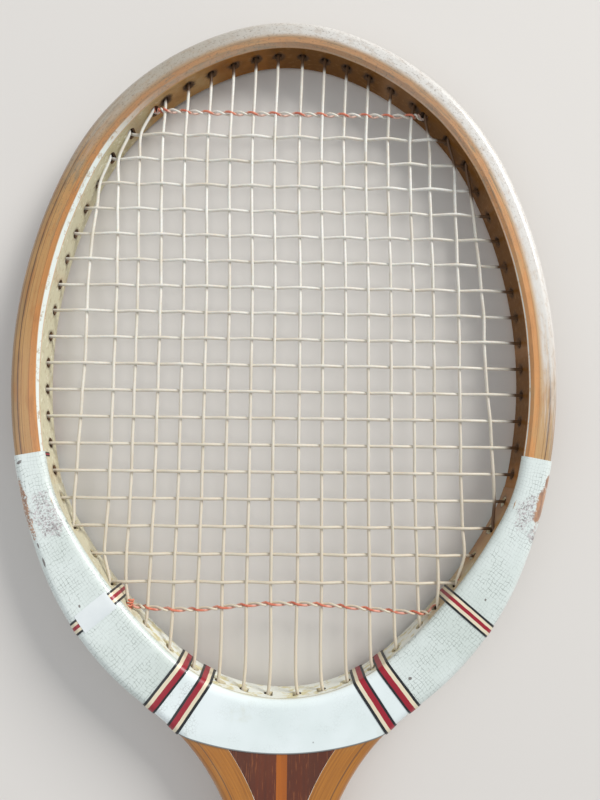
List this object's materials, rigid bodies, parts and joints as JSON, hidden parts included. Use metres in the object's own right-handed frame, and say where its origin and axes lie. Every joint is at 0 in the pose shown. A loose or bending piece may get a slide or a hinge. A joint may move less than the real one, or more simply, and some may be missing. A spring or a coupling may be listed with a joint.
{
  "type": "tennis racket",
  "caption": "Wooden racket with an oval head of laminated wood, a woven string bed with trebling, a solid throat and a leather-wrapped octagonal handle, for hitting a ball.",
  "frame": {"origin": "centre of the butt cap's flat end face", "axes": "+Y from the butt to the tip of the head, +Z out of the front of the string bed, X across the head"},
  "size_m": [0.2348, 0.686, 0.0392],
  "materials": {
    "ash_wood": "lacquered, glossy",
    "pale_wood": "lacquered, glossy",
    "white_enamel": "glossy white enamel over wood",
    "mahogany": "lacquered, glossy",
    "tan_wood": "lacquered, glossy",
    "golden_wood": "lacquered, glossy",
    "flare_wood": "plain, under the leather",
    "white_linen": "fine woven cloth under clear lacquer",
    "gut": "smooth cord, satin",
    "trebling": "two thin twisted strands, cream and orange",
    "grip_leather": "satin, wound strip",
    "collar_tape": "matte tape",
    "cap_leather": "satin"
  },
  "bodies": {
    "root": {"inner_ply": "ash_wood", "outer_ply": "pale_wood", "throat_yoke": "white_enamel", "wedge_left": "mahogany", "wedge_right": "mahogany", "centre_strip": "tan_wood", "linen_left": "white_linen", "linen_right": "white_linen", "main_string": "gut", "cross_string": "gut", "treble_top": "trebling", "treble_low": "trebling", "cheek_front": "golden_wood", "cheek_back": "golden_wood", "slip_left": "golden_wood", "slip_right": "golden_wood", "butt_flare": "flare_wood", "grip_leather": "grip_leather", "grip_collar": "collar_tape", "butt_cap": "cap_leather"}
  },
  "joints": []
}
